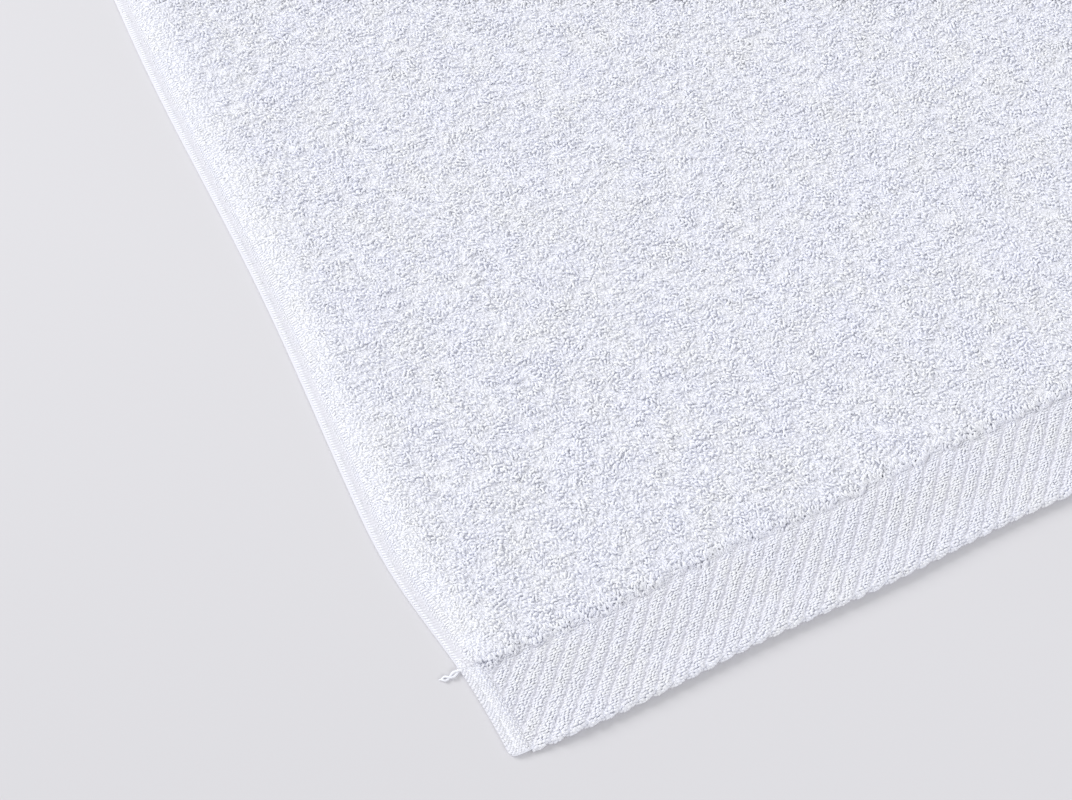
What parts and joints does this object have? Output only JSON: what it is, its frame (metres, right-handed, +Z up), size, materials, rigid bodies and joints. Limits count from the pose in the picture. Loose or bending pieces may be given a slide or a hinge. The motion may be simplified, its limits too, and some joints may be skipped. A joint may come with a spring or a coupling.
{
  "type": "bath sheet",
  "caption": "Large white terry bath sheet lying flat, with looped pile, flat pebble-weave end borders and ribbed side hems.",
  "frame": {"origin": "middle of the underside, on the surface that the sheet lies on", "axes": "+Y along the cloth from one end border to the other, +X across it, +Z up out of the upper face"},
  "size_m": [1, 1.5, 0.0065],
  "materials": {
    "white_cotton": "white cotton terry with looped pile, flat pebble-weave borders and ribbed hems, matt"
  },
  "bodies": {
    "root": {"bath_sheet": "white_cotton"}
  },
  "joints": []
}
